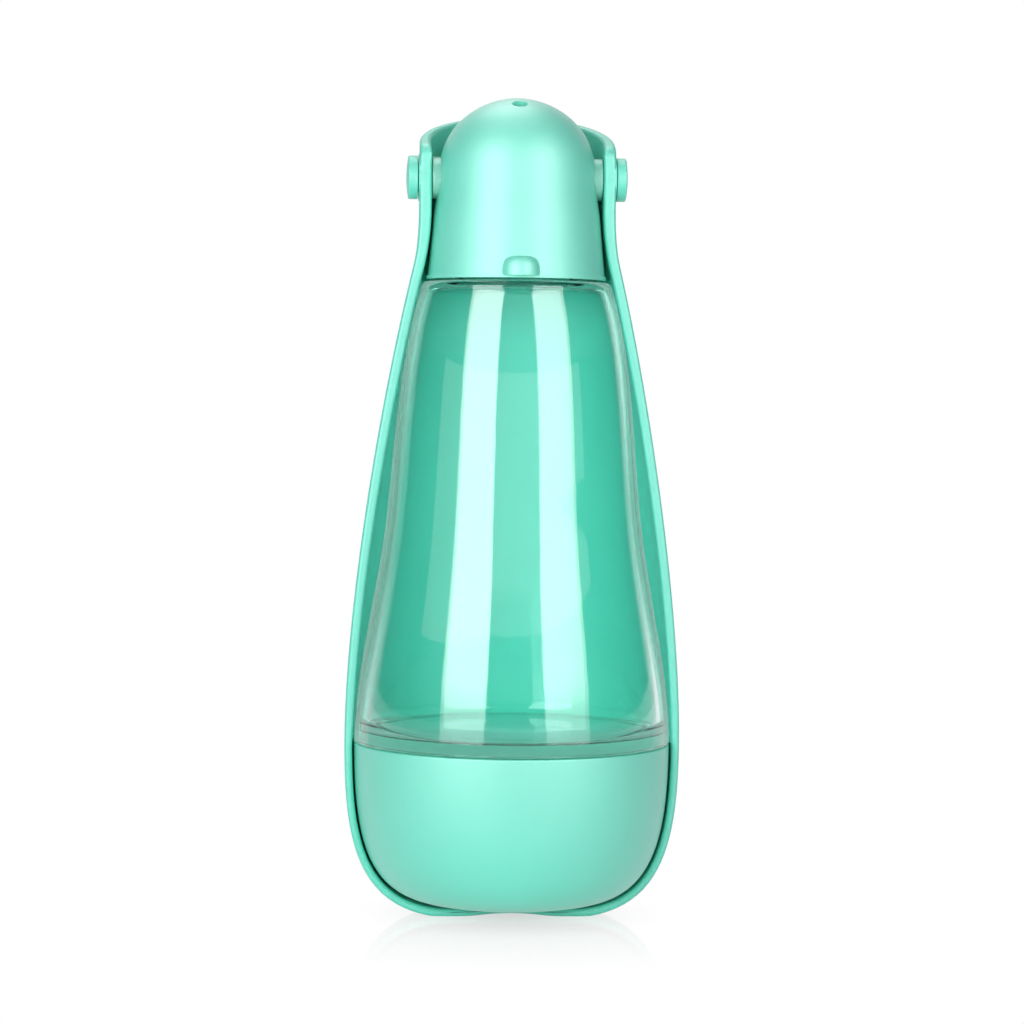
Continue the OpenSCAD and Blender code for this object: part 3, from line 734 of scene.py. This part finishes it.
mint = mint_finish("mint_satin_plastic", SHEEN_FULL)
wear(mint, cup, cap)
wear(mint_finish("mint_plain_plastic", SHEEN_LOW), tray, pin_left, pin_right)

# %% [markdown]
# ## Clear plastic
# The tank is polished clear copolyester: it bends light as plastic does, and its surface is smooth but not
# perfect. Towards its outline a clear wall mirrors the bright room, and here the tray would hide that room, so a
# painted reflection, a pale matt colour on the outward faces, takes its place there, as strong as the mirroring
# would be. Its slight tint, and the colour it lets light through with, take out red and are in part painted shade:
# they deepen the mint of the tray behind it. Lamps don't shine through a refracting surface in a path tracer
# without a great many samples, so for shadow rays and for light on its way from one matt surface to another the
# plastic is plainly see-through.

# %% Clear finish
# Both tints take out red: a slight tint of the plastic, and in part painted shade that deepens the mint of the tray
# seen through the tank
CLEAR_IOR, CLEAR_TINT_AND_PAINTED_SHADE, THROUGH_TINT_AND_PAINTED_SHADE = 1.5, (0.85, 1.0, 0.985, 1), (0.915, 0.998, 0.990, 1)
POLISH, SCUFFS, FLOW, FLOW_DEPTH = 0.02, 0.16, 0.25, 0.12 * MM
# The pale matt colour of the painted reflection, and the grazing angles between which it fades in
PAINTED_REFLECTION, PAINTED_REFLECTION_FROM, PAINTED_REFLECTION_FULL = (0.95, 0.95, 0.95, 1), 0.56, 0.60


def painted_reflection_share(shader):
    """How much painted reflection, in place of mirroring, the outward faces of a turned piece get close to its
    outline.
    """
    around = shader.node("VectorMath", settings={"operation": "MULTIPLY"},
                         at_0=shader.node("TexCoord", output="Object"), at_1=(1, 1, 0))
    outward = shader.node("VectorMath", output="Value", settings={"operation": "DOT_PRODUCT"},
                          at_0=shader.node("TexCoord", output="Normal"), at_1=around).math("GREATER_THAN", 0)
    grazing = ease(shader, shader.node("LayerWeight", output="Facing", Blend=0.5), PAINTED_REFLECTION_FROM, PAINTED_REFLECTION_FULL)
    inner = shader.node("NewGeometry", output="Backfacing")
    return shader.node("Fresnel", IOR=CLEAR_IOR) * grazing * outward * (1 - inner)


def clear_finish(name):
    shader = material(name)
    flow = noise(shader, 60)
    scuff = noise(shader, 900, 5, 0.7)
    bump = shader.node("Bump", Strength=FLOW, Distance=FLOW_DEPTH, Height=flow)
    body = shader.node("BsdfPrincipled", Base_Color=CLEAR_TINT_AND_PAINTED_SHADE, Roughness=(scuff ** 4) * SCUFFS + POLISH,
                       Normal=bump, IOR=CLEAR_IOR, Transmission_Weight=1.0)
    # Near the outline a pale matt colour is mixed in: a painted reflection of the room
    with_painted_reflection = shader.node("MixShader", at_0=painted_reflection_share(shader), at_1=body,
                         at_2=shader.node("BsdfDiffuse", Color=PAINTED_REFLECTION))
    # Light passed through the tank loses red as well: in part painted shade on the tray behind it
    through = shader.node("BsdfTransparent", Color=THROUGH_TINT_AND_PAINTED_SHADE)
    shadow = shader.node("LightPath", output="Is Shadow Ray")
    bounced = shader.node("LightPath", output="Is Diffuse Ray")
    return shader.finish(shader.node("MixShader", at_0=shadow.math("MAXIMUM", bounced), at_1=with_painted_reflection, at_2=through))


wear(clear_finish("clear_polished_plastic"), tank)

# %% [markdown]
# ## Frosted plastic
# The bushes are milky: they let some light through and scatter the rest, so they get a matt colour with a low
# transmission and a cloudy noise. The flat underside of the tank and the flat of its shoulder are frosted in the
# same way, since as polished faces they would trap light and turn black; the mint of that frost is painted light,
# which stands for the lit mint parts seen through them. They are found by their normals and heights, and take the
# tank's second material.

# %% Frosted finish
FROST, FROST_DEEP, FROST_THROUGH = (0.30, 0.76, 0.63), (0.24, 0.70, 0.57), 0.25
FLAT, AT_HEIGHT = 0.9, 0.15


def frosted_finish(name):
    shader = material(name)
    cloud = noise(shader, 400, 3)
    bump = shader.node("Bump", Strength=0.3, Distance=0.05 * MM, Height=cloud)
    surface = shader.node("BsdfPrincipled", Base_Color=between(shader, cloud, FROST, FROST_DEEP),
                          Roughness=cloud * 0.1 + 0.28, Normal=bump, IOR=1.5, Transmission_Weight=FROST_THROUGH)
    return shader.finish(surface)


wear(frosted_finish("frosted_moulded_plastic"), bush_left, bush_right)
# On the tank's flats the milky mint is painted light: it stands for the mint parts that show through the clear
# plastic
tank.data.materials.append(frosted_finish("tank_flats_painted_through_mint"))
flats = [f for f in tank.data.polygons
         if abs(f.normal.z) > FLAT and min(abs(f.center.z / MM - z) for z in (seam_z, shoulder_z)) < AT_HEIGHT]
for f in flats:
    f.material_index = 1
print("frosted flats of the tank:", len(flats), "faces")

# %% [markdown]
# ## Silicone and the liner
# The seals and the slit valve are matt silicone in two shades of pale mint, and the liner is the same mint as the
# cap. They keep their CAD shapes, so only their material slots are filled.

# %% Silicone finish
def silicone_finish(name, light, deep):
    shader = material(name)
    cloud = noise(shader, 300, 4)
    grain = noise(shader, 3000, 2)
    bump = shader.node("Bump", Strength=0.4, Distance=0.05 * MM, Height=grain)
    surface = shader.node("BsdfPrincipled", Base_Color=between(shader, cloud, light, deep),
                          Roughness=cloud * 0.15 + 0.5, Normal=bump, IOR=1.41)
    return shader.finish(surface)


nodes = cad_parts
pale_silicone = silicone_finish("pale_silicone", (0.42, 0.84, 0.72), (0.34, 0.78, 0.64))
mint_silicone = silicone_finish("mint_silicone", (0.30, 0.78, 0.64), (0.24, 0.70, 0.56))
wear(pale_silicone, nodes["base_seal"], nodes["neck_seal"])
wear(mint_silicone, nodes["outlet_valve"])
wear(mint, nodes["cap_liner"])

# %% [markdown]
# ## The floor
# The bottle stands on a white floor that runs into white surroundings. Close to the bottle the floor is in part
# plain pale matt, so that it takes the soft shadow of the foot, and a short polished patch mirrors the foot and
# fades out. Further away it gives the white of the surroundings. For the light that it throws back on matt
# surfaces it is plain matt all over.

# %% Floor
WHITE, FLOOR_PALE = (1, 1, 1, 1), (0.86, 0.86, 0.86, 1)
WHITE_NEAR, WHITE_FULL_AT = 0.7, 0.048
MIRROR_NEAR, MIRROR_FROM, MIRROR_TO, MIRROR_ROUGH = 0.14, 0.02, 0.10, 0.05


def ray_kinds(shader):
    """Whether the ray comes straight from the eye, was mirrored, or passed through something clear."""
    return [shader.node("LightPath", output=f"Is {kind} Ray") for kind in ("Camera", "Glossy", "Transmission")]


bpy.ops.mesh.primitive_plane_add(size=9, location=(0, 0, 0))
floor = bpy.context.object
floor.name = "studio_floor"
shader = material("white_floor")
distance = shader.node("VectorMath", output="Value", settings={"operation": "LENGTH"},
                       at_0=shader.node("TexCoord", output="Object"))
matt = shader.node("BsdfDiffuse", Color=FLOOR_PALE)
mirror = shader.node("BsdfGlossy", Color=WHITE, Roughness=MIRROR_ROUGH)
white = shader.node("Emission", Color=WHITE, Strength=1.0)
near = shader.node("MixShader", at_0=ease(shader, distance, 0.0, WHITE_FULL_AT, WHITE_NEAR), at_1=matt, at_2=white)
seen = shader.node("MixShader", at_0=ease(shader, distance, MIRROR_FROM, MIRROR_TO, MIRROR_NEAR, 0.0), at_1=near,
                   at_2=mirror)
from_eye, from_mirror, from_clear = ray_kinds(shader)
direct = from_eye.math("MAXIMUM", from_mirror).math("MAXIMUM", from_clear)
floor.data.materials.append(shader.finish(shader.node("MixShader", at_0=direct, at_1=matt, at_2=seen)))
print("floor is plain white from", WHITE_FULL_AT / MM, "mm outwards")

# %% [markdown]
# ## The surroundings
# Seen directly or through the clear tank, the surroundings are plain white. For the light that they throw on matt
# surfaces they are much dimmer, and a little brighter on the left. Mirrored rays find white behind the bottle and
# a nearly dark room in front of it, so that the lamps show as clean shapes in the tank. A ray that was mirrored
# before it passed through the clear wall counts as mirrored.

# %% Surroundings
FILL, FILL_LEAN, ROOM_DARK, ROOM_EDGE, ROOM_WHITE_AT = 0.32, 0.12, 0.04, 0.55, 0.68
world = bpy.data.worlds.new("white_surroundings")
bpy.context.scene.world = world
shader = Shader(world)
from_eye, from_mirror, from_clear = ray_kinds(shader)
mirrored = shader.node("LightPath", output="Glossy Depth").math("GREATER_THAN", 0.5)
seen = from_eye.math("MAXIMUM", from_clear * (1 - mirrored))
glossy = from_mirror.math("MAXIMUM", from_clear * mirrored)
towards = shader.node("TexCoord", output="Generated")
right = shader.node("SeparateXYZ", output="X", Vector=towards)
back = shader.node("SeparateXYZ", output="Y", Vector=towards)
room = ease(shader, back, ROOM_EDGE, ROOM_WHITE_AT, ROOM_DARK)
fill = FILL - right * FILL_LEAN
strength = seen + glossy * room + (1 - seen) * (1 - glossy) * fill
shader.finish(shader.node("Background", Color=WHITE, Strength=strength), "OutputWorld")
print("surroundings:", world.name)

# %% [markdown]
# ## The lamps
# Satin plastic and clear plastic want different lamps, so each lamp says which of them it serves. Two low
# softboxes either side of the camera light matt surfaces alone, the left one stronger, so the right side of the
# cap falls off. Two tall strips further out show in glossy surfaces alone: they draw the two bright strips down
# the tank, and they are dimmer towards their foot, as a softbox is near its end.

# %% Softboxes
LAMP_AWAY, AIM_Z = 1.1, 0.12
KEYS = (("key_left", -27, 6.0), ("key_right", 20, 3.5))
STRIPS = (("strip_left", -39, 16.5), ("strip_right", 38, 14.0))
KEY_W, KEY_H, KEY_FOOT, STRIP_W, STRIP_H, STRIP_FOOT = 0.7, 0.5, 0.0, 0.72, 1.05, -0.05
DIM, DIM_FROM, DIM_TO = 0.50, 0.16, 0.31


def softbox(name, azimuth, width, height, foot, watts):
    """A lamp that faces the bottle from an azimuth, in degrees from the front towards the right."""
    turn = math.radians(azimuth)
    spot = Vector((LAMP_AWAY * math.sin(turn), -LAMP_AWAY * math.cos(turn), foot + height / 2))
    aim = (Vector((0, 0, AIM_Z)) - spot).to_track_quat("-Z", "Y").to_euler()
    bpy.ops.object.light_add(type="AREA", location=spot, rotation=aim)
    lamp = bpy.context.object
    lamp.name = name
    lamp.data.shape, lamp.data.size, lamp.data.size_y = "RECTANGLE", width, height
    lamp.data.energy = watts
    lamp.visible_camera = False
    return lamp


def shines(lamp, matt, gloss):
    """Says whether a lamp lights matt surfaces, and whether it shows in glossy ones."""
    lamp.visible_diffuse, lamp.visible_glossy, lamp.visible_transmission = matt, gloss, gloss


for name, azimuth, watts in KEYS:
    shines(softbox(name, azimuth, KEY_W, KEY_H, KEY_FOOT, watts), True, False)
for name, azimuth, watts in STRIPS:
    strip = softbox(name, azimuth, STRIP_W, STRIP_H, STRIP_FOOT, watts)
    shines(strip, False, True)
    shader = Shader(strip.data)
    up = shader.node("SeparateXYZ", output="Y", Vector=shader.node("NewGeometry", output="Parametric"))
    level = ease(shader, up, DIM_FROM, DIM_TO, DIM)
    shader.finish(shader.node("Emission", Color=WHITE, Strength=level), "OutputLight")
print("softboxes:", [name for name, *_ in KEYS + STRIPS])

# %% [markdown]
# A curved card of light stands close in front of the bottle. It shows in glossy surfaces alone and lets every ray
# through, and it draws the paler field down the middle of the tank. It has to be close: a distant panel would
# show at the wrong height in the curved side. It is a short line spun through part of a turn and turned to the
# front, and its lower edge falls towards the left.

# %% Light band
BAND_R, BAND_LOW, BAND_HIGH, BAND_LEFT, BAND_RIGHT, BAND_LEVEL = 300, 154, 222, -76, 62, 1.5
BAND_BEND, BAND_FALL, BAND_STEPS = 120, 0.12, 48
turn = math.radians(BAND_RIGHT - BAND_LEFT)
band = spin(draw("light_band", [(BAND_R, BAND_LOW), (BAND_R, BAND_HIGH)]), BAND_STEPS, turn)
middle = sum((v.co for v in band.data.vertices), Vector()) / len(band.data.vertices)
aim = math.radians(-90 + (BAND_LEFT + BAND_RIGHT) / 2) - math.atan2(middle.y, middle.x)
band.data.transform(Matrix.Rotation(aim, 4, "Z"))
for v in band.data.vertices:
    if v.co.z < (BAND_LOW + 1) * MM:
        v.co.z += min(v.co.x + BAND_BEND * MM, 0) * BAND_FALL
shader = material("light_band_card")
glow = shader.node("Emission", Color=WHITE, Strength=BAND_LEVEL)
clear_card = shader.node("BsdfTransparent", Color=WHITE)
band.data.materials.append(shader.finish(shader.node("AddShader", at_0=clear_card, at_1=glow)))
band.visible_camera = band.visible_diffuse = band.visible_transmission = band.visible_shadow = False
print("light band spans", [round(v) for v in size_mm(band)[0]], [round(v) for v in size_mm(band)[1]])

# %% [markdown]
# Two round lamps hang overhead. The broad one lights the dome softly from above. The one behind shows in glossy
# surfaces alone, as the bright edge along the top of the dome.

# %% Lamps overhead
def overhead(name, place, lean, size, watts):
    """A round lamp that looks down, leaning by some degrees about the X axis."""
    bpy.ops.object.light_add(type="AREA", location=place, rotation=(math.radians(lean), 0, 0))
    lamp = bpy.context.object
    lamp.name, lamp.data.shape, lamp.data.size, lamp.data.energy = name, "DISK", size, watts
    lamp.visible_camera = False
    return lamp


overhead("softbox_top", (0, 0.1, 1.5), 0, 1.2, 2.5)
shines(overhead("softbox_crown", (-0.12, 0.5, 1.35), -22, 0.9, 8), False, True)

# %% [markdown]
# ## Camera
# A long lens at a little under a metre, a hair to the left of the front and just above the middle of the bottle.

# %% Camera
AZIMUTH, DISTANCE, EYE_Z, PITCH, ROLL, PAN = 3.3, 0.880, 0.1501, 2.35, 0.6, 0.028
LENS, SENSOR, NEAREST, FARTHEST = 109.6, 36, 0.01, 50
turn = math.radians(AZIMUTH)
look = (Matrix.Rotation(math.radians(-AZIMUTH + PAN), 4, "Z") @ Matrix.Rotation(math.radians(90 - PITCH), 4, "X")
        @ Matrix.Rotation(math.radians(ROLL), 4, "Z"))
bpy.ops.object.camera_add(location=(-DISTANCE * math.sin(turn), -DISTANCE * math.cos(turn), EYE_Z),
                          rotation=look.to_euler())
camera = bpy.context.object
camera.data.lens, camera.data.sensor_width = LENS, SENSOR
camera.data.clip_start, camera.data.clip_end = NEAREST, FARTHEST
bpy.context.scene.camera = camera
bpy.context.scene.view_settings.view_transform = "Standard"
print("camera at", [round(v, 3) for v in camera.location])
